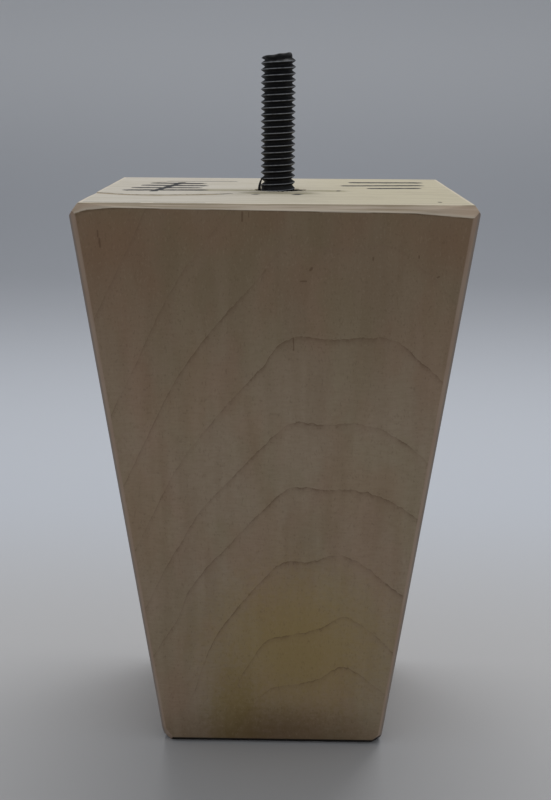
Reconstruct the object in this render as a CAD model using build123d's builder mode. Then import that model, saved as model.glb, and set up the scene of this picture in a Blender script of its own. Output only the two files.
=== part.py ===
import os
from math import radians, tan

from build123d import *

# Square tapered furniture leg of solid pale hardwood, with a steel hanger bolt in its top.
# Origin at the middle of the foot, +Z up along the bolt; the face with the arched grain looks along -Y.
# All sizes in millimetres.

# Wooden block
block_height = 124.0
foot_width = 49.4  # across the flats at the floor, before the edges are eased
top_width = 83.0  # across the flats at the top, before the edges are eased
foot_corner_easing = 0.7  # leg of the small flat along each upright edge, at the floor
top_corner_easing = 1.2  # the same flat at the top, where the sanding went wider

# Bevels round the top, sanded by hand and so all different: how far in, and how far down in the middle.
# All but the one at the back also run askew, so they have a size at each end.
front_bevel_in_at_left, front_bevel_in_at_right, front_bevel_down = 0.9, 1.9, 1.25
right_bevel_in_at_front, right_bevel_in_at_back, right_bevel_down = 1.45, 2.0, 2.1
back_bevel_in, back_bevel_down = 1.3, 1.3
left_bevel_in_at_front, left_bevel_in_at_back, left_bevel_down = 2.3, 1.5, 2.2

# The front top bevel runs out lower at both ends: length of the run-out, and its depth at the corner.
# The left corner was sanded once more, shorter and steeper.
right_runout_length, right_runout_down = 17.7, 2.6
left_runout_length, left_runout_down = 6.1, 1.8
left_corner_length, left_corner_down = 4.5, 2.85

# Bevel round the foot, and the foot corners that are sanded further: height up the edge, and inward
foot_bevel = 1.25
front_left_foot_up, front_left_foot_in = 5.6, 4.4
front_right_foot_up, front_right_foot_in = 3.3, 3.2

# Hanger bolt, 5/16 in by 2 1/2 in
stud_diameter = 7.8  # over the crests of the machine thread
stud_length = 30.4  # standing out of the wood, at the high side of its end
bolt_length = 63.5
neck_diameter = 7.0  # plain shank between the two threads
neck_length = 6.0
lag_diameter = 5.8  # core of the wood-screw end
neck_taper = 1.0
point_length = 7.0
stud_end_chamfer = 0.7
stud_end_tilt = 6.5  # degrees, the stud was cut off out of square

# Hole in the end grain
hole_clearance = 0.05  # on the radius, round the neck and the lag end
mouth_diameter = 10.6  # the fibres have broken out round the stud
mouth_depth = 1.5
bore_overrun = 0.5  # the neck bore and the pilot hole both go a little deeper than the bolt
pilot_overrun = 2.0
drill_point_angle = 118

side_slope = (top_width - foot_width) / 2 / block_height
embedded_length = bolt_length - stud_length
neck_bore_depth = neck_length + neck_taper + bore_overrun
pilot_radius = lag_diameter / 2 + hole_clearance
pilot_depth = embedded_length + pilot_overrun


def half_width(height):
    return foot_width / 2 + side_slope * height


def front_corner(side, height):
    """Point on the upright front edge, side 1 for right and -1 for left, before it is eased."""
    return Vector(side * half_width(height), -half_width(height), height)


def plane_off(point, facing):
    """Planes away what lies past a flat through the point, as a sanding block would."""
    split(bisect_by=Plane(origin=point, z_dir=facing), keep=Keep.BOTTOM)


# Block: a lofted taper, then the bevels and the sanded corners are planed off one by one
with BuildPart() as leg_block:
    with BuildSketch(Plane.XY) as foot_outline:
        Rectangle(foot_width, foot_width)
        chamfer(foot_outline.vertices(), foot_corner_easing)
    with BuildSketch(Plane.XY.offset(block_height)) as top_outline:
        Rectangle(top_width, top_width)
        chamfer(top_outline.vertices(), top_corner_easing)
    loft(ruled=True)

    # Bevels round the top and the foot, going round anticlockwise from the right-hand side
    for turn, bevel_in_at_start, bevel_in_at_end, bevel_down in [
        (0, right_bevel_in_at_front, right_bevel_in_at_back, right_bevel_down),
        (90, back_bevel_in, back_bevel_in, back_bevel_down),
        (180, left_bevel_in_at_back, left_bevel_in_at_front, left_bevel_down),
        (270, front_bevel_in_at_left, front_bevel_in_at_right, front_bevel_down),
    ]:
        top_half = half_width(block_height)
        start = Vector(top_half - bevel_in_at_start, -top_half, block_height).rotate(Axis.Z, turn)
        end = Vector(top_half - bevel_in_at_end, top_half, block_height).rotate(Axis.Z, turn)
        low_height = block_height - bevel_down
        low_middle = Vector(half_width(low_height), 0, low_height).rotate(Axis.Z, turn)
        plane_off(start, (low_middle - start).cross(end - start))
        outward = Vector(1, 0, 0).rotate(Axis.Z, turn)
        foot_line = outward * (half_width(0) - foot_bevel)
        plane_off(foot_line, outward - Vector(0, 0, 1 + side_slope))

    # Run-outs at both ends of the front bevel, each through the corner of the top face
    for side, side_bevel_in, front_bevel_in, runout_length, runout_down in [
        (1, right_bevel_in_at_front, front_bevel_in_at_right, right_runout_length, right_runout_down),
        (-1, left_bevel_in_at_front, front_bevel_in_at_left, left_runout_length, left_runout_down),
        (-1, left_bevel_in_at_front, front_bevel_in_at_left, left_corner_length, left_corner_down),
    ]:
        top_corner = front_corner(side, block_height) - Vector(side * side_bevel_in, -front_bevel_in)
        low_corner = front_corner(side, block_height - runout_down)
        bevel_foot = front_corner(side, block_height - front_bevel_down)
        runout_start = bevel_foot - Vector(side * runout_length, 0)
        plane_off(top_corner, (runout_start - top_corner).cross(low_corner - top_corner) * side)

    # Foot corners sanded further than the bevel
    for side, corner_up, corner_in in [
        (-1, front_left_foot_up, front_left_foot_in),
        (1, front_right_foot_up, front_right_foot_in),
    ]:
        up_the_edge = front_corner(side, corner_up)
        along_front = front_corner(side, 0) - Vector(side * corner_in, 0)
        along_side = front_corner(side, 0) + Vector(0, corner_in)
        plane_off(up_the_edge, (along_front - up_the_edge).cross(along_side - up_the_edge) * side)

    # Stepped hole for the bolt: broken-out mouth, neck bore, pilot hole with a drill point
    with Locations((0, 0, block_height)):
        CounterBoreHole(
            radius=neck_diameter / 2 + hole_clearance,
            counter_bore_radius=mouth_diameter / 2,
            counter_bore_depth=mouth_depth,
            depth=neck_bore_depth,
        )
        Hole(radius=pilot_radius, depth=pilot_depth)
    with Locations((0, 0, block_height - pilot_depth)):
        Cone(
            bottom_radius=0,
            top_radius=pilot_radius,
            height=pilot_radius / tan(radians(drill_point_angle / 2)),
            align=(Align.CENTER, Align.CENTER, Align.MAX),
            mode=Mode.SUBTRACT,
        )
leg_block.part.label = "leg_block"

# Hanger bolt: one turned profile on the wood's surface, from the stud's end down to the point
with BuildPart() as hanger_bolt:
    with BuildSketch(Plane(origin=(0, 0, block_height), x_dir=(1, 0, 0), z_dir=(0, -1, 0))):
        with BuildLine():
            Polyline(
                (0, stud_length),
                (stud_diameter / 2 - stud_end_chamfer, stud_length),
                (stud_diameter / 2, stud_length - stud_end_chamfer),
                (stud_diameter / 2, 0),
                (neck_diameter / 2, 0),
                (neck_diameter / 2, -neck_length),
                (lag_diameter / 2, -neck_length - neck_taper),
                (lag_diameter / 2, point_length - embedded_length),
                (0, -embedded_length),
                close=True,
            )
        make_face()
    revolve(axis=Axis.Z)

    # The stud's end was cut a little out of square, low on the left
    high_point = Vector(stud_diameter / 2 - stud_end_chamfer, 0, block_height + stud_length)
    plane_off(high_point, Vector(0, 0, 1).rotate(Axis.Y, -stud_end_tilt))
hanger_bolt.part.label = "hanger_bolt"

os.makedirs("parts", exist_ok=True)
export_step(leg_block.part, "parts/leg_block.step")
export_step(hanger_bolt.part, "parts/hanger_bolt.step")
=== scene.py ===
import math

import bmesh
import bpy
from mathutils import Matrix, Vector, noise


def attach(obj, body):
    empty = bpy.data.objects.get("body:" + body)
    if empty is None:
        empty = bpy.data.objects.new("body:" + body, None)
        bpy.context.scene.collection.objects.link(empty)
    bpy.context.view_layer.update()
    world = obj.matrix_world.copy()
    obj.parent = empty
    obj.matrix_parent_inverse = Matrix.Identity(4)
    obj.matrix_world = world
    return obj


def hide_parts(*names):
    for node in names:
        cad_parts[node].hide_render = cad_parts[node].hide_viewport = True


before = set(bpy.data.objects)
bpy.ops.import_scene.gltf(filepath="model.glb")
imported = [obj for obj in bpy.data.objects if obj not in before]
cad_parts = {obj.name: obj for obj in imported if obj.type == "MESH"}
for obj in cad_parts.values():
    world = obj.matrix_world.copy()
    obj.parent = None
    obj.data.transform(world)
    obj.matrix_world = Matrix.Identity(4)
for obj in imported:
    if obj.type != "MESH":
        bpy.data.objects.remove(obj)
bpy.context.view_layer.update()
print("frame loaded:", sorted(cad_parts))

# The two pieces are built in millimetres, and makePiece turns each mesh into metres. The studio and the
# camera are in metres. The leg stands on z = 0 with the stud's axis at x = y = 0, and the face with the
# arched grain looks along -y.


def tone(red, green, blue):
    return tuple(((c / 255 + 0.055) / 1.055) ** 2.4 for c in (red, green, blue)) + (1.0,)


def smoothStep(low, high, value):
    t = min(max((value - low) / (high - low), 0.0), 1.0)
    return t * t * (3 - 2 * t)


def vertsOf(geometry):
    return [v for v in geometry if isinstance(v, bmesh.types.BMVert)]


def edgesOf(geometry):
    return [e for e in geometry if isinstance(e, bmesh.types.BMEdge)]


def makePiece(name, bm, node, material):
    mesh = bpy.data.meshes.new(name)
    bmesh.ops.scale(bm, vec=(0.001, 0.001, 0.001), verts=bm.verts)
    bm.to_mesh(mesh)
    bm.free()
    mesh.shade_smooth()
    mesh.materials.append(material)
    piece = bpy.data.objects.new(name, mesh)
    bpy.context.scene.collection.objects.link(piece)
    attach(piece, "root")
    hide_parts(node)
    print(name, "made,", sum(len(face.vertices) - 2 for face in mesh.polygons), "triangles")
    return piece


# Node helpers: a value or a socket may stand at any input

def feed(tree, node, name, value):
    if isinstance(value, bpy.types.NodeSocket):
        tree.links.new(value, node.inputs[name])
    elif value is not None:
        node.inputs[name].default_value = value


def addNode(tree, kind, inputs=None, **settings):
    node = tree.nodes.new(kind)
    for name, value in settings.items():
        setattr(node, name, value)
    for name, value in (inputs or {}).items():
        feed(tree, node, name, value)
    return node


def maths(tree, operation, first, second=0.0, clamp=False):
    inputs = {0: first, 1: second}
    return addNode(tree, "ShaderNodeMath", inputs, operation=operation, use_clamp=clamp).outputs[0]


def times(tree, first, second):
    return maths(tree, "MULTIPLY", first, second)


def vectorMaths(tree, operation, first, second=None, scale=None):
    inputs = {0: first, 1: second, 3: scale}
    return addNode(tree, "ShaderNodeVectorMath", inputs, operation=operation).outputs


def fade(tree, value, low, high, toLow=0.0, toHigh=1.0):
    inputs = {"Value": value, "From Min": low, "From Max": high, "To Min": toLow, "To Max": toHigh}
    return addNode(tree, "ShaderNodeMapRange", inputs, interpolation_type="SMOOTHSTEP").outputs["Result"]


def blendColour(tree, factor, first, second, way="MIX"):
    inputs = {0: factor, 6: first, 7: second}
    return addNode(tree, "ShaderNodeMix", inputs, data_type="RGBA", blend_type=way).outputs[2]


def mixValue(tree, factor, first, second):
    return addNode(tree, "ShaderNodeMix", {0: factor, 2: first, 3: second}).outputs[0]


def separate(tree, vector):
    return addNode(tree, "ShaderNodeSeparateXYZ", {0: vector}).outputs


def grainNoise(tree, vector, scale, detail, place=(0, 0, 0), roughness=0.5):
    mapping = {"Vector": vector, "Scale": scale, "Location": place}
    stretched = addNode(tree, "ShaderNodeMapping", mapping).outputs[0]
    inputs = {"Vector": stretched, "Scale": 1.0, "Detail": detail, "Roughness": roughness}
    return addNode(tree, "ShaderNodeTexNoise", inputs).outputs["Fac"]


def handCurve(tree, value, points, handles="AUTO"):
    node = addNode(tree, "ShaderNodeFloatCurve", {"Value": value})
    curve = node.mapping.curves[0]
    curve.points[0].location, curve.points[1].location = points[0], points[-1]
    for place in points[1:-1]:
        curve.points.new(*place)
    for point in curve.points:
        point.handle_type = handles
    node.mapping.extend = "EXTRAPOLATED"
    node.mapping.use_clip = False
    node.mapping.update()
    return node.outputs[0]


def newGroup(name, inputs, outputs):
    group = bpy.data.node_groups.new(name, "ShaderNodeTree")
    for label, kind, value in inputs:
        socket = group.interface.new_socket(label, in_out="INPUT", socket_type="NodeSocket" + kind)
        if value is not None:
            socket.default_value = value
    for label in outputs:
        group.interface.new_socket(label, in_out="OUTPUT", socket_type="NodeSocketFloat")
    return group, group.nodes.new("NodeGroupInput").outputs, group.nodes.new("NodeGroupOutput").inputs


def useGroup(tree, group, inputs):
    return addNode(tree, "ShaderNodeGroup", inputs, node_tree=group).outputs


# Growth rings: the pith lies far behind the leg, so the rings run left to right across the end grain
# and come out on the tapered front as one arch above another. Each outline says how far a ring falls
# back at each x; the arches low on the front peak further to the right.
ringValues = {
    "outlines": [
        [(-42, 12), (-16, 4.7), (-8, 2.4), (-5, 1.6), (-1, 0.85), (5, 0.6), (10, 0.42), (16, 0.0),
         (18, 0.1), (22, 0.5), (28, 1.3), (42, 3.6)],
        [(-42, 12), (-18, 4.75), (-13.5, 3.0), (-8.4, 1.87), (-2.7, 0.93), (1, 0.36), (3, 0.22),
         (8, 0.2), (15, 0.0), (18, 0.16), (26, 1.0), (34, 1.9), (42, 3.6)],
        [(-42, 10), (-25, 5.2), (-21, 4.3), (-18, 3.3), (-8, 1.7), (-2.6, 0.87), (1, 0.34), (4, 0.05),
         (11, 0.12), (20, 0.2), (27, 0.62), (33, 1.3), (42, 3.4)],
        [(-42, 9.8), (-29, 6.2), (-20, 3.8), (-10, 2.02), (-2, 0.78), (1.3, 0.18), (4, 0.0), (12, 0.07),
         (20, 0.0), (24, 0.02), (27, 0.2), (30, 0.58), (34, 1.05), (42, 2.8)],
    ],
    "halfSpan": 45.0, "mostBack": 12.0,  # the outlines' reach in x, and the most that a ring falls back
    "blends": [(29.6, 30.3), (31.8, 32.8), (36.4, 37.2)],  # depths where one outline gives way to the next
    # Rings that the front shows, by their depth from the stud's axis, and the stretch that holds them
    "depths": [27.5, 29.2, 31.2, 33.4, 35.4, 37.8, 40.4, 43.1, 46.6],
    "depthFrom": 24.0, "depthSpan": 26.0, "yearSpan": 10.0,
    "wander": 0.25, "jitter": 0.16, "sharpness": 24.0, "bandSharpness": 3.0,
    "strengthFade": (0.35, 0.55, 0.35, 1.0), "dashFade": (0.35, 0.6, 0.6, 1.0),
}

# Patterns in the wood: scale per millimetre, detail, place in the noise, roughness
woodPatterns = {
    "wander": ((0.05, 0.05, 0.02), 1.0),
    "jitter": ((0.7, 0.7, 0.12), 3.0),
    "strength": ((0.16, 0.16, 0.09), 3.0, (7, 3, 1)),
    "dashes": ((0.9, 0.9, 0.5), 1.0, (2, 5, 3)),
    "streak": ((0.45, 0.45, 0.018), 3.0, (2, 9, 4), 0.6),
    "fleck": ((2.6, 2.6, 1.3), 1.0, (5, 1, 8)),
    "ragged": ((0.9, 0.9, 0.9), 3.0),
    "fine": ((0.5, 2.2, 2.2), 2.0, (6, 2, 5)),
    "endStreak": ((0.03, 0.5, 0.45), 3.0, (3, 3, 3), 0.6),
    "layers": ((0.05, 1.5, 1.8), 2.0, (8, 3, 2), 0.6),
    "pinkCloud": ((0.08, 0.08, 0.04), 3.0, (1, 4, 6)),
    "greenCloud": ((0.1, 0.1, 0.05), 3.0, (3, 8, 2)),
    "darkCloud": ((0.22, 0.22, 0.03), 3.0, (9, 2, 5)),
}


def woodNoise(tree, vector, name):
    return grainNoise(tree, vector, *woodPatterns[name])


def buildRings():
    group, given, result = newGroup("growthRings", [("Vector", "Vector", None)], ["Line", "Band"])
    vector = given["Vector"]
    place = separate(group, vector)
    halfSpan, mostBack = ringValues["halfSpan"], ringValues["mostBack"]
    depthFrom, depthSpan = ringValues["depthFrom"], ringValues["depthSpan"]
    inward = times(group, place["Y"], -1.0)
    across = maths(group, "DIVIDE", maths(group, "ADD", place["X"], halfSpan), halfSpan * 2)
    curves = []
    for outline in ringValues["outlines"]:
        points = [((x + halfSpan) / (halfSpan * 2), back / mostBack) for x, back in outline]
        curves.append(handCurve(group, across, points))
    roughDepth = maths(group, "ADD", inward, times(group, curves[1], mostBack))
    fallback = curves[0]
    for curve, blend in zip(curves[1:], ringValues["blends"]):
        fallback = mixValue(group, fade(group, roughDepth, *blend), fallback, curve)
    depth = maths(group, "ADD", inward, times(group, fallback, mostBack))
    for name in ("wander", "jitter"):
        centred = maths(group, "SUBTRACT", woodNoise(group, vector, name), 0.5)
        depth = maths(group, "ADD", depth, times(group, centred, ringValues[name]))
    share = maths(group, "DIVIDE", maths(group, "SUBTRACT", depth, depthFrom), depthSpan)
    count = [((ring - depthFrom) / depthSpan, (index + 1) / ringValues["yearSpan"])
             for index, ring in enumerate(ringValues["depths"])]
    years = times(group, handCurve(group, share, count, "VECTOR"), ringValues["yearSpan"])
    late = maths(group, "FRACT", years)
    strength = fade(group, woodNoise(group, vector, "strength"), *ringValues["strengthFade"])
    dashes = fade(group, woodNoise(group, vector, "dashes"), *ringValues["dashFade"])
    line = times(group, maths(group, "POWER", late, ringValues["sharpness"]), dashes)
    group.links.new(times(group, line, strength), result["Line"])
    group.links.new(maths(group, "POWER", late, ringValues["bandSharpness"]), result["Band"])
    return group


def buildFibre():
    group, given, result = newGroup("woodFibre", [("Vector", "Vector", None)], ["Streak", "Fleck", "Glint"])
    fleck = woodNoise(group, given["Vector"], "fleck")
    group.links.new(woodNoise(group, given["Vector"], "streak"), result["Streak"])
    group.links.new(fade(group, fleck, 0.58, 0.76), result["Fleck"])
    group.links.new(fade(group, fleck, 0.4, 0.26), result["Glint"])
    return group


# One straight stroke on a flat face: ink, or painted shade in a crack, a pit or round the stud, by its ends,
# width and softness
def buildStroke():
    sockets = [("Point", "Vector", None), ("From", "Vector", None), ("To", "Vector", None),
               ("Width", "Float", 1.0), ("Softness", "Float", 0.3), ("Ragged", "Float", 0.0)]
    group, given, result = newGroup("stroke", sockets, ["Mask"])
    along = vectorMaths(group, "SUBTRACT", given["To"], given["From"])[0]
    gone = vectorMaths(group, "SUBTRACT", given["Point"], given["From"])[0]
    reach = vectorMaths(group, "DOT_PRODUCT", gone, along)["Value"]
    share = maths(group, "DIVIDE", reach, vectorMaths(group, "DOT_PRODUCT", along, along)["Value"], True)
    nearest = vectorMaths(group, "SCALE", along, scale=share)[0]
    distance = vectorMaths(group, "LENGTH", vectorMaths(group, "SUBTRACT", gone, nearest)[0])["Value"]
    half = times(group, given["Width"], 0.5)
    distance = maths(group, "ADD", distance, times(group, given["Ragged"], half))
    inner = times(group, half, maths(group, "SUBTRACT", 1.0, given["Softness"]))
    outer = times(group, half, maths(group, "ADD", 1.0, given["Softness"]))
    group.links.new(fade(group, distance, inner, outer, 1.0, 0.0), result["Mask"])
    return group


# Handling dirt and dust, on the wood and on the steel alike
def buildGrime():
    sockets = [("Vector", "Vector", None), ("Size", "Float", 8.0), ("Amount", "Float", 0.5)]
    group, given, result = newGroup("grime", sockets, ["Mask"])
    perPatch = maths(group, "DIVIDE", 1.0, given["Size"])
    scaled = vectorMaths(group, "SCALE", given["Vector"], scale=perPatch)[0]
    inputs = {"Vector": scaled, "Scale": 1.0, "Detail": 4.0, "Roughness": 0.65}
    patches = addNode(group, "ShaderNodeTexNoise", inputs).outputs["Fac"]
    group.links.new(times(group, fade(group, patches, 0.48, 0.72), given["Amount"]), result["Mask"])
    return group


growthRings, woodFibre, strokeGroup, grimeGroup = buildRings(), buildFibre(), buildStroke(), buildGrime()
print("shared shader groups built")


def startMaterial(name):
    material = bpy.data.materials.new(name)
    material.use_nodes = True
    tree = material.node_tree
    coords = addNode(tree, "ShaderNodeTexCoord").outputs["Object"]
    inputs = {"Vector": coords, "Scale": (1000, 1000, 1000)}
    millimetres = addNode(tree, "ShaderNodeMapping", inputs).outputs[0]
    return material, tree, tree.nodes["Principled BSDF"], millimetres


# Wooden block
block = {
    "height": 124.0, "footWidth": 49.6, "topWidth": 83.0,
    "acrossCells": 76, "upCells": 124, "crowding": 0.8,  # mesh cells, drawn together towards the edges
    "uprightFlat": (0.85, 1.3),  # leg of the flat along each upright edge, at the foot and at the top
    # The top bevels were sanded by hand: how far in at their two ends, anticlockwise, and how far down
    # in the middle
    "topBevelIn": {"front": (0.9, 1.9), "right": (1.45, 2.0), "back": (1.3, 1.3), "left": (1.5, 2.3)},
    "topBevelDown": {"front": 1.25, "right": 2.1, "back": 1.3, "left": 2.2},
    # Run-outs of the front bevel: side, length along the front, depth at the corner
    "runouts": [(1, 17.7, 2.6), (-1, 6.1, 1.8), (-1, 4.5, 2.85)],
    "footBevel": 1.15,
    "footCorners": [(-1, 4.9, 2.9), (1, 3.3, 3.2)],  # side, height up the edge, inwards
    "snap": 0.04, "softening": 1, "softReach": 0.2,
    # Mouth of the hole, torn wider on its right, with the lip round it worn down a little
    "mouthRadius": 5.2, "mouthDepth": 1.5, "mouthWall": 0.35, "mouthZone": 9.0,
    "tornTo": 6.5, "tornSpread": 0.65, "tornWobble": 0.35, "tornRelief": 0.25, "lipWear": 0.06,
    # The crack across the top, in plan; its far side has sunk a little
    "crackPath": [
        (-42, -11), (-37, -14.6), (-33.5, -17), (-30, -18.2), (-25, -18.4), (-18, -16.8), (-10, -13.8),
    ],
    "crackEnd": -9.0, "crackFade": (-9.5, -14.0), "crackDepth": 0.5, "crackHalf": 0.35,
    "crackStep": 0.16, "stepReach": 14.0,
    # Finer mesh cells: how far out, and how many cuts
    "mouthCells": (10.0, 6), "crackCells": (2.5, 4),
}


def halfWidth(height):
    return (block["footWidth"] + (block["topWidth"] - block["footWidth"]) * height / block["height"]) / 2


def frontCorner(side, height):
    return Vector((side * halfWidth(height), -halfWidth(height), height))


def topFlats():
    # A point and an outward direction for each flat sanded round the top
    top, half = block["height"], halfWidth(block["height"])
    planes = []
    for index, name in enumerate(("front", "right", "back", "left")):
        turn = Matrix.Rotation(math.radians(90 * index), 3, "Z")
        startIn, endIn = block["topBevelIn"][name]
        lowest = top - block["topBevelDown"][name]
        start = turn @ Vector((-half, startIn - half, top))
        end = turn @ Vector((half, endIn - half, top))
        planes.append((start, (turn @ Vector((0, -halfWidth(lowest), lowest)) - start).cross(end - start)))
    for side, length, down in block["runouts"]:
        sideIn = block["topBevelIn"]["right"][0] if side > 0 else block["topBevelIn"]["left"][1]
        frontIn = block["topBevelIn"]["front"][1 if side > 0 else 0]
        high = frontCorner(side, top) - Vector((side * sideIn, -frontIn, 0))
        start = frontCorner(side, top - block["topBevelDown"]["front"]) - Vector((side * length, 0, 0))
        planes.append((high, (start - high).cross(frontCorner(side, top - down) - high) * side))
    return [(point, facing.normalized()) for point, facing in planes]


def lowerFlats():
    # The same for the flats along the upright edges, round the foot and at its two front corners
    top, foot = block["height"], halfWidth(0)
    slope = (block["topWidth"] - block["footWidth"]) / 2 / top
    flatFoot, flatTop = block["uprightFlat"]
    planes = []
    for index in range(4):
        turn = Matrix.Rotation(math.radians(90 * index), 3, "Z")
        planes.append((turn @ Vector((0, block["footBevel"] - foot, 0)), turn @ Vector((0, -1, -1 - slope))))
        low = Vector((foot - flatFoot, -foot, 0))
        beside = Vector((foot, flatFoot - foot, 0))
        high = Vector((halfWidth(top), flatTop - halfWidth(top), top))
        planes.append((turn @ low, turn @ (beside - low).cross(high - low)))
    for side, up, inward in block["footCorners"]:
        high = frontCorner(side, up)
        front = frontCorner(side, 0) - Vector((side * inward, 0, 0))
        flank = frontCorner(side, 0) + Vector((0, inward, 0))
        planes.append((high, (front - high).cross(flank - high) * side))
    return [(point, facing.normalized()) for point, facing in planes]


woodLook = {
    "side": tone(166, 148, 126), "sideDark": tone(137, 117, 92), "pinkish": tone(162, 136, 116),
    "line": tone(94, 67, 46), "fleck": tone(106, 86, 64), "glint": tone(178, 160, 134),
    "yellow": tone(164, 141, 88), "olive": tone(142, 121, 66), "redBrown": tone(142, 110, 84),
    # Below: a brown of painted shade towards the foot, and near-black painted shade for the foot's downward
    # bevel
    "footBrown": tone(100, 78, 48), "footBevelShade": tone(24, 17, 10),
    "top": tone(197, 190, 177), "topYellow": tone(192, 183, 157), "topDark": tone(168, 158, 136),
    # The eased tones below are pale partly as sanded fibre and partly as painted light
    "eased": tone(200, 185, 165), "easedDark": tone(166, 149, 126), "easedPink": tone(214, 188, 164),
    "bevelLine": tone(150, 138, 112), "rim": tone(222, 210, 190),
    # The upright tone below is paler than the side as painted light on the flats along the upright edges
    "upright": tone(174, 152, 134), "edgeDirt": tone(140, 133, 128),
    # Below: ink, near-black painted shade for cracks and pits, a darker tone of painted shade round the stud,
    # and near-black painted shade in the hole's mouth
    "ink": tone(26, 25, 26), "crackShade": tone(38, 32, 26), "pitShade": tone(20, 18, 16),
    "studShade": tone(130, 122, 90), "mouth": tone(16, 13, 10),
    # Tints multiply the colour below them; each cloud has a pattern, an amount and its tint
    "pinkTint": (1.0, 0.92, 0.9, 1.0), "greenTint": (0.95, 0.985, 0.93, 1.0),
    "darkTint": (0.84, 0.81, 0.77, 1.0),
    "clouds": [
        ("pinkCloud", 0.8, "pinkTint"), ("greenCloud", 0.7, "greenTint"), ("darkCloud", 0.35, "darkTint"),
    ],
    # Stains: colour, centre, reach and amount
    "stains": [
        ("yellow", (6, -28, 25), (26, 15, 24), 0.75), ("olive", (-8, -25, 8), (8, 12, 16), 0.65),
        # The brown patch at the foot in this list is painted shade
        ("footBrown", (1, -25, 1), (24, 12, 11), 0.65), ("redBrown", (-33, -40, 117), (13, 10, 9), 0.5),
        ("redBrown", (-12, -40, 118), (12, 10, 6), 0.35), ("redBrown", (34, -40, 117), (12, 10, 9), 0.35),
    ],
    "stainRagged": 0.6, "bandAmount": 0.1, "fleckAmount": 0.25, "glintAmount": 0.14, "ringsOnTop": 0.3,
    "grimeSize": 9.0, "grimeAmount": 0.3,
    "bumpStrength": 0.2, "bumpDistance": 0.0001, "lineRelief": 0.5, "fleckRelief": 0.3, "specular": 0.35,
}

# Fades on the wood: where it starts, where it ends, and the amount at each of the two
woodFades = {
    # Side grain, by pattern
    "streaks": (0.3, 0.75, 0.0, 0.2), "fine": (0.35, 0.7, 0.0, 0.2), "clouds": (0.44, 0.62),
    "stains": (0.1, 1.15), "roughness": (0.2, 0.8, 0.62, 0.78),
    # Side grain and its ring lines, by place on the front
    # The first fade below is painted shade, darker towards the top of the front; the second is painted shade,
    # browner towards the foot
    "shadeUpward": (70, 120, 0.0, 0.85), "footShade": (0, 12, 0.3, 0.0), "pinkLeft": (-34, -8, 0.4, 0.0),
    "linesUpward": (92, 116, 0.65, 0.45), "linesFromLeft": (-26, -8, 0.6, 1.0),
    "linesFromFoot": (10, 18, 0.2, 1.0), "upperPart": (96, 102), "linesToRight": (-4, 8, 1.0, 0.35),
    # Thin shadow under the top bevels, by depth below them
    "underBevel": (0.02, 0.3, 1.0, 0.0), "underBevelGaps": (0.35, 0.6, 0.2, 0.8),
    # End grain
    "topYellow": (-20, 25), "endStreaks": (0.45, 0.75, 0.0, 0.6), "topRim": (0.3, 0.6, 0.5, 0.0),
    # Bevels and the flats along the upright edges
    "layers": (0.35, 0.68), "pinkEnds": (28, 40, 0.0, 0.6), "bevelLine": (123.65, 123.85, 0.0, 0.7),
    "lip": (0.1, 0.4, 0.6, 0.0), "leftBevelLit": (-0.55, -0.2, 0.6, 0.0),
    "uprightFlat": (0.1, 0.3, 0.0, 0.9), "uprightStreaks": (0.35, 0.7, 0.0, 0.6),
    "edgeDirt": (0.3, 0.7, 0.7, 0.0),
    # Where each kind of surface shows, by the way it faces and by place
    "onFront": (-0.95, -0.8, 0.6, 0.0), "onBevels": (0.08, 0.25), "onTop": (0.86, 0.96),
    "lowDown": (1.1, 2.4, 0.96, 0.0), "undersideShade": (-0.66, -0.57, 1.0, 0.0),
    "nearHole": (7.2, 7.6, 1.0, 0.0), "sunken": (123.62, 123.86, 0.98, 0.0),
}

# Marks on the end grain, in plan: from, to, width, softness
topMarks = {
    # The dark patches beside and in front of the stud are painted shade of the stud
    "studShade": [
        ((-16, -3.5), (-6, -3), 5.0, 0.8), ((6, -3), (13, -3.5), 4.5, 0.8), ((-5, -11), (6, -11), 5.0, 0.9),
    ],
    # The crack strokes are painted shade in the cracks; the main one lies over the crack pressed into the
    # mesh
    "crackShade": [(start, end, 1.2, 0.2) for start, end in zip(block["crackPath"], block["crackPath"][1:])] + [
        ((-27, 26), (-11, 26.8), 1.4, 0.5), ((13.6, -4), (13.8, -1.8), 0.9, 0.5),
        ((-38, -39.3), (-27, -39.7), 0.7, 0.5), ((-24, -39.2), (-14, -39.6), 0.5, 0.6),
    ],
    # The pits are near-black spots of painted shade, with no hollow in the mesh
    "pitShade": [
        ((-4.6, -15.4), (-4.1, -14.6), 1.5, 0.4), ((4.2, -15.6), (4.8, -13.8), 1.9, 0.4),
        ((33.7, -33.5), (33.7, -32.6), 0.9, 0.15),
    ],
    # Tally strokes in marker: a crossed group on the left, three on the right
    "ink": [
        ((-33, -5), (-17.5, -3.5), 3.6, 0.15), ((-32, 3), (-19, 3.5), 3.2, 0.15),
        ((-30.5, 11), (-18.5, 10.5), 3.6, 0.15), ((-29, 19), (-19.5, 18.2), 3.8, 0.15),
        ((-27.5, -8), (-23.5, 21.5), 1.8, 0.2), ((18.5, 25.5), (33, 26.5), 3.8, 0.15),
        ((16.5, 14), (32.5, 16.5), 3.6, 0.15), ((22, 5.5), (31.5, 7), 3.2, 0.15),
    ],
}
topMarkAmounts = {"studShade": 0.75, "crackShade": 0.85, "pitShade": 0.95, "ink": 1.0}

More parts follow.
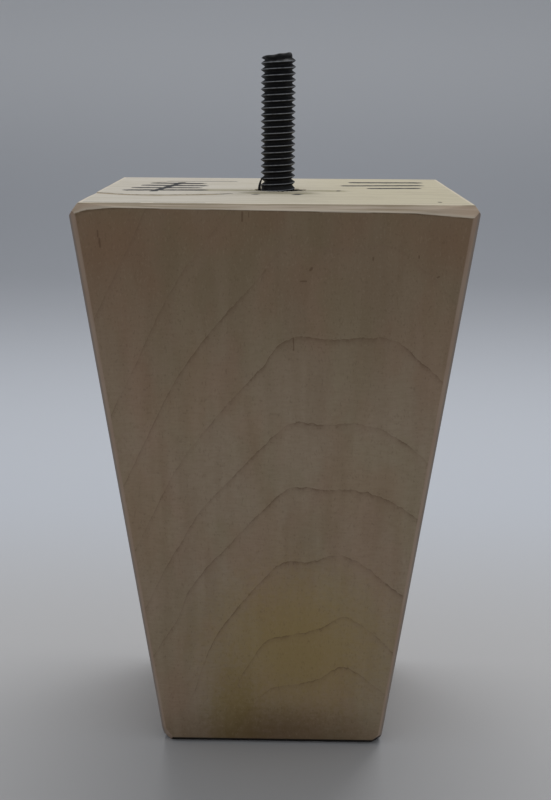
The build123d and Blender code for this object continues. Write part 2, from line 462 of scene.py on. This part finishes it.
# Small knots and dashes on the front, seen square on
frontMarks = [
    ((-35.3, 118.4), (-35.3, 117.2), 0.3, 0.9), ((-35.0, 116.8), (-34.9, 115.1), 0.35, 0.9),
    ((-6.3, 122.4), (-6.3, 120.6), 0.3, 0.9), ((-5.0, 122.3), (-5.0, 121.4), 0.15, 0.9),
    ((4.1, 96.4), (4.2, 93.8), 0.2, 0.9), ((7.4, 110.7), (7.7, 111.1), 0.45, 0.9),
    ((5.5, 108.4), (6.6, 108.4), 0.28, 0.9), ((20.0, 113.3), (20.0, 112.9), 0.3, 0.9),
    ((29.2, 113.8), (29.2, 113.4), 0.25, 0.9), ((33.0, 109.4), (33.4, 109.6), 0.25, 0.9),
]


def strokes(tree, colour, marks, point, ragged, shade, amount):
    for start, end, width, softness in marks:
        inputs = {"Point": point, "From": start + (0,), "To": end + (0,)}
        inputs.update({"Width": width, "Softness": softness, "Ragged": ragged})
        mask = useGroup(tree, strokeGroup, inputs)["Mask"]
        colour = blendColour(tree, times(tree, mask, amount), colour, shade)
    return colour


def depthUnder(tree, vector, planes):
    # How deep a point lies under the nearest of the flats
    nearest = None
    for point, facing in planes:
        reach = vectorMaths(tree, "DOT_PRODUCT", vector, tuple(facing))["Value"]
        depth = maths(tree, "SUBTRACT", point.dot(facing), reach)
        nearest = depth if nearest is None else maths(tree, "MINIMUM", nearest, depth)
    return nearest


def woodFade(tree, value, name):
    return fade(tree, value, *woodFades[name])


def shadeSide(tree, vector, place, facing, rings, fibre, ragged, fine, depth):
    # Side grain: faint streaks, painted shade darker towards the top and browner towards the foot, clouds of
    # pink, green and dark, stains low and high, and the rings
    dark, side = woodLook["sideDark"], woodLook["side"]
    side = blendColour(tree, woodFade(tree, fibre["Streak"], "streaks"), side, dark)
    side = blendColour(tree, woodFade(tree, fine, "fine"), side, dark)
    # Painted shade: darker towards the top of the front
    side = blendColour(tree, woodFade(tree, place["Z"], "shadeUpward"), side, dark)
    # Painted shade: browner towards the foot
    side = blendColour(tree, woodFade(tree, place["Z"], "footShade"), side, woodLook["footBrown"])
    for name, amount, tint in woodLook["clouds"]:
        cloud = fade(tree, woodNoise(tree, vector, name), *woodFades["clouds"], 0.0, amount)
        side = blendColour(tree, cloud, side, woodLook[tint], "MULTIPLY")
    side = blendColour(tree, woodFade(tree, place["X"], "pinkLeft"), side, woodLook["pinkTint"], "MULTIPLY")
    for name, centre, reach, amount in woodLook["stains"]:
        offset = vectorMaths(tree, "DIVIDE", vectorMaths(tree, "SUBTRACT", vector, centre)[0], reach)[0]
        distance = vectorMaths(tree, "LENGTH", offset)["Value"]
        stain = maths(tree, "ADD", distance, times(tree, ragged, woodLook["stainRagged"]))
        side = blendColour(tree, fade(tree, stain, *woodFades["stains"], amount, 0.0), side, woodLook[name])
    side = blendColour(tree, times(tree, rings["Band"], woodLook["bandAmount"]), side, woodLook["pinkish"])
    line = times(tree, rings["Line"], woodFade(tree, place["Z"], "linesUpward"))
    line = times(tree, line, woodFade(tree, place["X"], "linesFromLeft"))
    line = times(tree, line, woodFade(tree, place["Z"], "linesFromFoot"))
    upperPart = woodFade(tree, place["Z"], "upperPart")
    line = times(tree, line, mixValue(tree, upperPart, 1.0, woodFade(tree, place["X"], "linesToRight")))
    side = blendColour(tree, line, side, woodLook["line"])
    side = blendColour(tree, times(tree, fibre["Fleck"], woodLook["fleckAmount"]), side, woodLook["fleck"])
    side = blendColour(tree, times(tree, fibre["Glint"], woodLook["glintAmount"]), side, woodLook["glint"])
    seenFromFront = addNode(tree, "ShaderNodeCombineXYZ", {0: place["X"], 1: place["Z"]}).outputs[0]
    onFront = woodFade(tree, facing["Y"], "onFront")
    side = strokes(tree, side, frontMarks, seenFromFront, ragged, woodLook["line"], onFront)
    shadow = times(tree, woodFade(tree, depth, "underBevel"), woodFade(tree, fine, "underBevelGaps"))
    return blendColour(tree, shadow, side, woodLook["fleck"])


def shadeTop(tree, vector, place, rings, ragged, depth, seenFromAbove):
    # End grain: streaks along the rings, then painted shade round the stud, in the cracks and in the pits,
    # and ink
    dark, top = woodLook["topDark"], woodLook["top"]
    top = blendColour(tree, woodFade(tree, place["X"], "topYellow"), top, woodLook["topYellow"])
    top = blendColour(tree, woodFade(tree, woodNoise(tree, vector, "endStreak"), "endStreaks"), top, dark)
    top = blendColour(tree, times(tree, rings["Line"], woodLook["ringsOnTop"]), top, dark)
    grime = {"Vector": vector, "Size": woodLook["grimeSize"], "Amount": woodLook["grimeAmount"]}
    top = blendColour(tree, useGroup(tree, grimeGroup, grime)["Mask"], top, dark)
    top = blendColour(tree, woodFade(tree, depth, "topRim"), top, woodLook["rim"])
    for kind, amount in topMarkAmounts.items():
        top = strokes(tree, top, topMarks[kind], seenFromAbove, ragged, woodLook[kind], amount)
    return top


def shadeBevels(tree, vector, place, facing, inFromSide):
    # Sanded bevels cut the fibre aslant: pale layers along the top, between a thin dark line and a pale lip
    # The bevels' paleness is partly the sanded fibre and partly painted light
    layers = woodFade(tree, woodNoise(tree, vector, "layers"), "layers")
    layered = blendColour(tree, layers, woodLook["eased"], woodLook["easedDark"])
    pinkEnds = woodFade(tree, maths(tree, "ABSOLUTE", place["X"]), "pinkEnds")
    layered = blendColour(tree, pinkEnds, layered, woodLook["easedPink"])
    layered = blendColour(tree, woodFade(tree, place["Z"], "bevelLine"), layered, woodLook["bevelLine"])
    layered = blendColour(tree, woodFade(tree, inFromSide, "lip"), layered, woodLook["rim"])
    # Painted light: the bevels facing left are made paler
    return blendColour(tree, woodFade(tree, facing["X"], "leftBevelLit"), layered, woodLook["rim"])


def shadeUpright(tree, fibre, inFromFlank):
    # The flats along the upright edges are duller, paler as painted light, with streaks, and dirty towards
    # the flank
    streaks = woodFade(tree, fibre["Streak"], "uprightStreaks")
    upright = blendColour(tree, streaks, woodLook["upright"], woodLook["pinkish"])
    return blendColour(tree, woodFade(tree, inFromFlank, "edgeDirt"), upright, woodLook["edgeDirt"])


def makeWood():
    material, tree, shader, vector = startMaterial("paleHardwood")
    rings = useGroup(tree, growthRings, {"Vector": vector})
    fibre = useGroup(tree, woodFibre, {"Vector": vector})
    place = separate(tree, vector)
    facing = separate(tree, addNode(tree, "ShaderNodeTexCoord").outputs["Normal"])
    ragged = maths(tree, "SUBTRACT", woodNoise(tree, vector, "ragged"), 0.5)
    fine = woodNoise(tree, vector, "fine")
    depth = depthUnder(tree, vector, topFlats())
    seenFromAbove = vectorMaths(tree, "MULTIPLY", vector, (1, 1, 0))[0]

    # How far in from the tapered sides a point lies
    outX, outY = (maths(tree, "ABSOLUTE", place[axis]) for axis in ("X", "Y"))
    slope = (halfWidth(block["height"]) - halfWidth(0)) / block["height"]
    widthHere = maths(tree, "ADD", times(tree, place["Z"], slope), halfWidth(0))
    inFromSide = maths(tree, "SUBTRACT", widthHere, maths(tree, "MAXIMUM", outX, outY))
    inFromFlank = maths(tree, "SUBTRACT", widthHere, outX)

    colour = shadeSide(tree, vector, place, facing, rings, fibre, ragged, fine, depth)
    sideways, forward = (maths(tree, "ABSOLUTE", facing[axis]) for axis in ("X", "Y"))
    onUpright = woodFade(tree, maths(tree, "MINIMUM", sideways, forward), "uprightFlat")
    colour = blendColour(tree, onUpright, colour, shadeUpright(tree, fibre, inFromFlank))
    # Painted shade: the foot's downward bevel is turned near black
    undersideShade = times(tree, woodFade(tree, facing["Z"], "undersideShade"), woodFade(tree, place["Z"], "lowDown"))
    colour = blendColour(tree, undersideShade, colour, woodLook["footBevelShade"])
    bevels = shadeBevels(tree, vector, place, facing, inFromSide)
    colour = blendColour(tree, woodFade(tree, facing["Z"], "onBevels"), colour, bevels)
    top = shadeTop(tree, vector, place, rings, ragged, depth, seenFromAbove)
    colour = blendColour(tree, woodFade(tree, facing["Z"], "onTop"), colour, top)
    # Painted shade: the sunken mouth of the hole round the stud is turned near black
    fromAxis = vectorMaths(tree, "LENGTH", seenFromAbove)["Value"]
    mouthShadeMask = times(tree, woodFade(tree, fromAxis, "nearHole"), woodFade(tree, place["Z"], "sunken"))
    colour = blendColour(tree, mouthShadeMask, colour, woodLook["mouth"])
    tree.links.new(colour, shader.inputs["Base Color"])

    height = maths(tree, "SUBTRACT", fibre["Streak"], times(tree, rings["Line"], woodLook["lineRelief"]))
    height = maths(tree, "SUBTRACT", height, times(tree, fibre["Fleck"], woodLook["fleckRelief"]))
    relief = {"Strength": woodLook["bumpStrength"], "Distance": woodLook["bumpDistance"], "Height": height}
    tree.links.new(addNode(tree, "ShaderNodeBump", relief).outputs[0], shader.inputs["Normal"])
    tree.links.new(woodFade(tree, fibre["Streak"], "roughness"), shader.inputs["Roughness"])
    shader.inputs["Specular IOR Level"].default_value = woodLook["specular"]
    print("wood material ready")
    return material


# Blackened steel
steelLook = {
    "black": tone(11, 11, 14), "worn": tone(150, 153, 160), "dust": tone(54, 51, 48),
    # The machine thread's crests are rubbed bright between these radii; the lag end's are not
    "crestFrom": 3.82, "crestTo": 3.89, "threadOuter": 3.93,
    "rub": ((1.1, 1.1, 0.5), 3.0, (4, 2, 6), 0.6), "rubFade": (0.3, 0.55, 0.45, 1.0),
    "roughnessFade": (0.2, 0.8, 0.45, 0.65), "crestMetal": 0.6,
    "grimeSize": 1.6, "grimeAmount": 0.25,
    "bumpStrength": 0.3, "bumpDistance": 0.00006, "specular": 0.3,
}


def makeSteel():
    material, tree, shader, vector = startMaterial("blackenedSteel")
    seenFromAbove = vectorMaths(tree, "MULTIPLY", vector, (1, 1, 0))[0]
    radius = vectorMaths(tree, "LENGTH", seenFromAbove)["Value"]
    rub = grainNoise(tree, vector, *steelLook["rub"])
    crest = fade(tree, radius, steelLook["crestFrom"], steelLook["crestTo"])
    crest = times(tree, crest, maths(tree, "LESS_THAN", radius, steelLook["threadOuter"]))
    crest = times(tree, crest, fade(tree, rub, *steelLook["rubFade"]))
    grime = {"Vector": vector, "Size": steelLook["grimeSize"], "Amount": steelLook["grimeAmount"]}
    colour = blendColour(tree, crest, steelLook["black"], steelLook["worn"])
    colour = blendColour(tree, useGroup(tree, grimeGroup, grime)["Mask"], colour, steelLook["dust"])
    tree.links.new(colour, shader.inputs["Base Color"])
    tree.links.new(times(tree, crest, steelLook["crestMetal"]), shader.inputs["Metallic"])
    tree.links.new(fade(tree, rub, *steelLook["roughnessFade"]), shader.inputs["Roughness"])
    shader.inputs["Specular IOR Level"].default_value = steelLook["specular"]
    relief = {"Strength": steelLook["bumpStrength"], "Distance": steelLook["bumpDistance"], "Height": rub}
    tree.links.new(addNode(tree, "ShaderNodeBump", relief).outputs[0], shader.inputs["Normal"])
    print("steel material ready")
    return material


def sandFlat(bm, point, facing):
    # Cuts the mesh along the flat's outline, then presses what stands proud down onto the flat
    everything = bm.verts[:] + bm.edges[:] + bm.faces[:]
    cut = bmesh.ops.bisect_plane(bm, geom=everything, dist=block["snap"], plane_co=point, plane_no=facing)
    proud = {v for v in bm.verts if (v.co - point).dot(facing) > 0}
    for vert in proud.union(vertsOf(cut["geom_cut"])):
        vert.co -= facing * (vert.co - point).dot(facing)


def makeTaper(bm):
    # A cube cut into cells, which crowd towards its edges, then drawn out to the block's tapered shape
    bmesh.ops.create_cube(bm, size=2)
    upright = [e for e in bm.edges if abs(e.verts[0].co.z - e.verts[1].co.z) > 1]
    bmesh.ops.subdivide_edges(bm, edges=upright, cuts=block["upCells"] - 1)
    level = [e for e in bm.edges if abs(e.verts[0].co.z - e.verts[1].co.z) < 0.001]
    bmesh.ops.subdivide_edges(bm, edges=level, cuts=block["acrossCells"] - 1, use_grid_fill=True)

    def crowd(s):
        return block["crowding"] * math.sin(s * math.pi / 2) + (1 - block["crowding"]) * s

    for vert in bm.verts:
        height = (crowd(vert.co.z) + 1) / 2 * block["height"]
        half = halfWidth(height)
        vert.co = Vector((crowd(vert.co.x) * half, crowd(vert.co.y) * half, height))


def refineTop(bm, chosen, cuts):
    edges = set()
    for face in bm.faces:
        centre = face.calc_center_median()
        if centre.z > block["height"] - 0.1 and face.normal.z > 0.99 and chosen(centre):
            edges.update(face.edges)
    bmesh.ops.subdivide_edges(bm, edges=list(edges), cuts=cuts, use_grid_fill=True)


def mouthEdge(angle):
    right = math.exp(-((angle / block["tornSpread"]) ** 2)) * (block["tornTo"] - block["mouthRadius"])
    wobble = noise.noise(Vector((math.cos(angle) * 3, math.sin(angle) * 3, 5)))
    return block["mouthRadius"] + right + block["tornWobble"] * wobble


def pressMouth(vert, reach):
    x, y = vert.co.x, vert.co.y
    edge = mouthEdge(math.atan2(y, x))
    torn = block["tornRelief"] * noise.noise(Vector((x * 1.3, y * 1.3, 1)))
    inside = 1 - smoothStep(edge - block["mouthWall"], edge, reach)
    onLip = smoothStep(block["mouthZone"], 6, reach) * smoothStep(edge - 0.3, edge + 0.1, reach)
    vert.co.z -= (block["mouthDepth"] + torn) * inside
    vert.co.z -= max(0.0, block["lipWear"] + torn * 0.6) * onLip


def crackLine(x):
    for (x0, y0), (x1, y1) in zip(block["crackPath"], block["crackPath"][1:]):
        if x <= x1:
            break
    return y0 + (y1 - y0) * (x - x0) / (x1 - x0)


def pressCrack(vert):
    off = vert.co.y - crackLine(vert.co.x)
    split = block["crackDepth"] * math.exp(-((off / block["crackHalf"]) ** 2))
    step = block["crackStep"] * smoothStep(0.2, -0.2, off) * smoothStep(-block["stepReach"], 0, off)
    vert.co.z -= smoothStep(*block["crackFade"], vert.co.x) * (split + step)


def makeBlock(material):
    bm = bmesh.new()
    makeTaper(bm)
    planes = topFlats() + lowerFlats()
    for point, facing in planes:
        sandFlat(bm, point, facing)

    def nearFlat(vert):
        return any((vert.co - point).dot(facing) > -block["softReach"] for point, facing in planes)

    soft = [v for v in bm.verts if nearFlat(v)]
    for _ in range(block["softening"]):
        bmesh.ops.smooth_vert(bm, verts=soft, factor=0.5, use_axis_x=True, use_axis_y=True, use_axis_z=True)

    # Finer cells round the hole and along the crack, then the torn mouth and the crack are pressed in
    crackEnd = block["crackEnd"]
    mouthReach, mouthCuts = block["mouthCells"]
    crackReach, crackCuts = block["crackCells"]
    refineTop(bm, lambda c: c.xy.length < mouthReach, mouthCuts)
    refineTop(bm, lambda c: c.x < crackEnd and abs(c.y - crackLine(c.x)) < crackReach, crackCuts)
    for vert in bm.verts:
        if vert.co.z < block["height"] - 3 or vert.normal.z < 0.3:
            continue
        reach = math.hypot(vert.co.x, vert.co.y)
        if reach < block["mouthZone"]:
            pressMouth(vert, reach)
        if vert.co.x < crackEnd:
            pressCrack(vert)
    bmesh.ops.recalc_face_normals(bm, faces=bm.faces)
    return makePiece("leg_block_dressed", bm, "leg_block", material)


# Hanger bolt
bolt = {
    # Machine thread, 5/16 in and 18 to the inch
    "crestRadius": 3.9, "rootRadius": 3.1, "pitch": 25.4 / 18, "flatShare": 0.16,
    "stepsPerTurn": 48, "phase": -0.42, "studLength": 29.96, "belowSurface": 2.6,
    # Its end is cropped out of square and narrower on its right, and the first thread is bruised
    "endTilt": 6.5, "endChamfer": 0.85, "endShear": 0.4, "chamferSlope": 0.6,
    "bruise": 0.3, "bruisedLength": 2.5, "endRelief": 0.25,
    # The thread runs out into the plain shank at the wood
    "runout": 1.5, "runoutFull": 0.4, "runoutRadius": 3.72,
    "neckRadius": 3.5, "neckLength": 6.0, "neckTaper": 1.0, "shoulder": 0.4,
    # Wood-screw end
    "lagCrest": 3.75, "lagRoot": 2.75, "lagPitch": 25.4 / 9, "lagFlatShare": 0.1, "lagSteps": 32,
    "lagLength": 26.5, "lagOverlap": 0.5, "pointLength": 7.0, "pointShare": 0.04,
    # Curl of steel beside the stud: length, radius at its foot and at its head, and where it hangs
    "curlLength": 2.9, "curlRadii": (0.36, 0.16), "curlPlace": (-3.35, -2.2), "curlSunk": 0.1,
}


def spinThread(bm, root, crest, pitch, turns, low, steps, flatShare):
    # One pitch of thread, as an open line of vertices, turned and lifted step by step
    rootShare, slopeShare = 0.07, (1 - flatShare) * 0.4
    outline = [
        (0.0, root), (rootShare, root + 0.02), (rootShare + slopeShare, crest - 0.1),
        (0.5 - flatShare * 0.3, crest - 0.01), (0.5, crest),
    ]
    outline += [(1 - share, radius) for share, radius in reversed(outline[:-1])]
    verts = [bm.verts.new((radius, 0, low + share * pitch)) for share, radius in outline]
    edges = [bm.edges.new(pair) for pair in zip(verts, verts[1:])]
    bmesh.ops.spin(bm, geom=verts + edges, cent=(0, 0, 0), axis=(0, 0, 1), dvec=(0, 0, pitch / steps),
                   angle=math.tau * turns, steps=int(turns * steps), use_merge=False)
    bmesh.ops.remove_doubles(bm, verts=bm.verts, dist=0.01)


def cutFlat(bm, point, facing):
    # Cuts off what lies past a flat, and gives the edges of the opening
    everything = bm.verts[:] + bm.edges[:] + bm.faces[:]
    cut = bmesh.ops.bisect_plane(bm, geom=everything, dist=0.0001, plane_co=point, plane_no=facing,
                                 clear_outer=True)
    return edgesOf(cut["geom_cut"])


def addShell(bm, shell):
    # Joins a separate closed shell into the piece
    bmesh.ops.recalc_face_normals(shell, faces=shell.faces)
    mesh = bpy.data.meshes.new("shell")
    shell.to_mesh(mesh)
    shell.free()
    bm.from_mesh(mesh)
    bpy.data.meshes.remove(mesh)


def cropEnd(bm):
    end = Vector((0, 0, block["height"] + bolt["studLength"]))
    facing = Matrix.Rotation(math.radians(-bolt["endTilt"]), 3, "Y") @ Vector((0, 0, 1))
    bmesh.ops.edgeloop_fill(bm, edges=cutFlat(bm, end, facing))
    for vert in bm.verts:
        below = -(vert.co - end).dot(facing)
        reach = vert.co.xy.length
        if below < bolt["bruisedLength"] and reach > 0.001:
            chamfer = bolt["endChamfer"] * (1 + bolt["endShear"] * vert.co.x / reach)
            limit = bolt["crestRadius"] - chamfer + below * bolt["chamferSlope"]
            fading = smoothStep(bolt["bruisedLength"], 0.3, below)
            bruise = bolt["bruise"] * noise.noise(vert.co * 0.8) * fading
            vert.co.xy *= min(min(reach, limit) + bruise, bolt["crestRadius"]) / reach
            dent = bolt["endRelief"] * (noise.noise(vert.co * 0.6) + 0.5)
            vert.co.z -= dent * smoothStep(1.2, 0.0, below)


def fillRunout(bm):
    for vert in bm.verts:
        above, reach = vert.co.z - block["height"], vert.co.xy.length
        if above < bolt["runout"] and reach < bolt["runoutRadius"]:
            filled = smoothStep(bolt["runout"], bolt["runoutFull"], above)
            vert.co.xy *= 1 + (bolt["runoutRadius"] / reach - 1) * filled


def addNeck(bm):
    # Plain neck below the machine thread
    threadEnd = block["height"] - bolt["belowSurface"]
    neckEnd = block["height"] - bolt["neckLength"]
    rings = [(bolt["neckRadius"], threadEnd - bolt["shoulder"]), (bolt["neckRadius"], neckEnd),
             (bolt["lagRoot"], neckEnd - bolt["neckTaper"])]
    rim = cutFlat(bm, Vector((0, 0, threadEnd)), Vector((0, 0, -1)))
    for radius, height in rings:
        grown = bmesh.ops.extrude_edge_only(bm, edges=rim)["geom"]
        for vert in vertsOf(grown):
            vert.co.xy = vert.co.xy.normalized() * radius
            vert.co.z = height
        rim = edgesOf(grown)
    bmesh.ops.edgeloop_fill(bm, edges=rim)


def makeStud(bm):
    pitch = bolt["pitch"]
    turns = math.ceil((bolt["studLength"] + bolt["belowSurface"]) / pitch) + 3
    low = block["height"] - bolt["belowSurface"] + (bolt["phase"] - 2) * pitch
    spinThread(bm, bolt["rootRadius"], bolt["crestRadius"], pitch, turns, low, bolt["stepsPerTurn"],
               bolt["flatShare"])
    cropEnd(bm)
    fillRunout(bm)
    addNeck(bm)
    bmesh.ops.recalc_face_normals(bm, faces=bm.faces)


def makeLagEnd():
    # Coarse wood-screw end with its point, hidden in the pilot hole
    lag = bmesh.new()
    pitch = bolt["lagPitch"]
    high = block["height"] - bolt["neckLength"] - bolt["lagOverlap"]
    low = high - bolt["lagLength"]
    turns = math.ceil(bolt["lagLength"] / pitch) + 2
    spinThread(lag, bolt["lagRoot"], bolt["lagCrest"], pitch, turns, low - pitch, bolt["lagSteps"],
               bolt["lagFlatShare"])
    for height, direction in ((low, -1), (high, 1)):
        opening = cutFlat(lag, Vector((0, 0, height)), Vector((0, 0, direction)))
        bmesh.ops.edgeloop_fill(lag, edges=opening)
    for vert in lag.verts:
        vert.co.xy *= max(bolt["pointShare"], min(1.0, (vert.co.z - low) / bolt["pointLength"]))
    return lag


def makeCurl():
    # A thin curl of steel torn from the thread hangs down the left side of the stud to the wood
    curl = bmesh.new()
    length, (footRadius, headRadius), (x, y) = bolt["curlLength"], bolt["curlRadii"], bolt["curlPlace"]
    bmesh.ops.create_cone(curl, cap_ends=True, segments=8, radius1=footRadius, radius2=headRadius,
                          depth=length)
    lengthwise = [e for e in curl.edges if abs(e.verts[0].co.z - e.verts[1].co.z) > length / 2]
    bmesh.ops.subdivide_edges(curl, edges=lengthwise, cuts=7)
    for vert in curl.verts:
        share = min(max(vert.co.z / length + 0.5, 0.0), 1.0)
        bow = 0.75 * (1 - share) ** 0.6 + 0.15 * math.sin(share * math.pi)
        vert.co += Vector((x - bow, y, block["height"] + length / 2 - bolt["curlSunk"]))
    return curl


def makeBolt(material):
    bm = bmesh.new()
    makeStud(bm)
    addShell(bm, makeLagEnd())
    addShell(bm, makeCurl())
    return makePiece("hanger_bolt_dressed", bm, "hanger_bolt", material)


woodMaterial, steelMaterial = makeWood(), makeSteel()
makeBlock(woodMaterial)
makeBolt(steelMaterial)


# Floor, light and camera
studio = {
    # The floor and wall tones paint light and shade on the sweep: lighter just behind the leg, darker far
    # back, lighter up the wall
    "floor": tone(191, 191, 192), "litFloorBehind": tone(195, 199, 206), "shadedFloorFar": tone(177, 180, 186),
    "litWall": tone(211, 213, 217), "roughness": 0.85, "specular": 0.2,
    # How the sweep's tone changes: to which tone, along which axis, from and to, in millimetres
    "changes": [("litFloorBehind", "Y", 20, 180), ("shadedFloorFar", "Y", 200, 650), ("litWall", "Z", 20, 200)],
    "width": 16.0, "front": -8.0, "sweepStart": 0.75, "sweepRadius": 0.5, "sweepSteps": 24, "wallHeight": 1.2,
    "worldColour": (0.94, 0.965, 1.0, 1.0), "worldStrength": 0.41,
    "keyPlace": (0.05, 0.33, 0.8), "keyAim": (0, 0, 0.08), "keySize": (0.6, 0.45), "keyPower": 3.9,
}


def makeSweepMaterial():
    material, tree, shader, vector = startMaterial("paleSweep")
    place = separate(tree, vector)
    colour = studio["floor"]
    for name, axis, start, end in studio["changes"]:
        colour = blendColour(tree, fade(tree, place[axis], start, end), colour, studio[name])
    tree.links.new(colour, shader.inputs["Base Color"])
    shader.inputs["Roughness"].default_value = studio["roughness"]
    shader.inputs["Specular IOR Level"].default_value = studio["specular"]
    return material


def extend(bm, edges, move):
    grown = bmesh.ops.extrude_edge_only(bm, edges=edges)["geom"]
    bmesh.ops.translate(bm, vec=move, verts=vertsOf(grown))
    return edgesOf(grown)


def makeSweep():
    # The floor runs back, turns up in a quarter round and goes on as the wall
    bm = bmesh.new()
    half, start, radius = studio["width"] / 2, studio["sweepStart"], studio["sweepRadius"]
    ends = [bm.verts.new((side * half, studio["front"], 0)) for side in (-1, 1)]
    edges = extend(bm, [bm.edges.new(ends)], Vector((0, start - studio["front"], 0)))
    turned = bmesh.ops.spin(bm, geom=edges, cent=(0, start, radius), axis=(1, 0, 0), angle=math.pi / 2,
                            steps=studio["sweepSteps"])
    extend(bm, edgesOf(turned["geom_last"]), Vector((0, 0, studio["wallHeight"])))
    mesh = bpy.data.meshes.new("paleSweep")
    bm.to_mesh(mesh)
    bm.free()
    mesh.shade_smooth()
    mesh.materials.append(makeSweepMaterial())
    floor = bpy.data.objects.new("paleSweep", mesh)
    bpy.context.scene.collection.objects.link(floor)


def makeLight():
    world = bpy.data.worlds.new("softRoom")
    bpy.context.scene.world = world
    world.use_nodes = True
    background = world.node_tree.nodes["Background"].inputs
    background["Color"].default_value = studio["worldColour"]
    background["Strength"].default_value = studio["worldStrength"]
    light = bpy.data.lights.new("key", "AREA")
    light.shape = "RECTANGLE"
    light.size, light.size_y = studio["keySize"]
    light.energy = studio["keyPower"]
    lamp = bpy.data.objects.new("key", light)
    lamp.location = studio["keyPlace"]
    lamp.rotation_euler = (Vector(studio["keyAim"]) - lamp.location).to_track_quat("-Z", "Y").to_euler()
    bpy.context.scene.collection.objects.link(lamp)
    print("studio ready")


# The photo's view: place in metres, angles in degrees, lens in millimetres
view = {
    "place": (0.00586, -0.32138, 0.14649), "down": 12.54, "turn": 1.08, "roll": 0.37,
    "lens": 63.1, "sensor": 36, "nearest": 0.01,
}


def makeCamera():
    camera = bpy.data.cameras.new("photoView")
    camera.lens = view["lens"]
    camera.sensor_width = view["sensor"]
    camera.clip_start = view["nearest"]
    holder = bpy.data.objects.new("photoView", camera)
    turn = Matrix.Rotation(math.radians(view["turn"]), 4, "Z")
    tilt = Matrix.Rotation(math.radians(90 - view["down"]), 4, "X")
    roll = Matrix.Rotation(math.radians(view["roll"]), 4, "Z")
    holder.matrix_world = Matrix.Translation(view["place"]) @ (turn @ tilt) @ roll
    bpy.context.scene.collection.objects.link(holder)
    bpy.context.scene.camera = holder
    print("camera ready")


makeSweep()
makeLight()
makeCamera()
bpy.context.scene.view_settings.view_transform = "Standard"

bpy.context.view_layer.update()
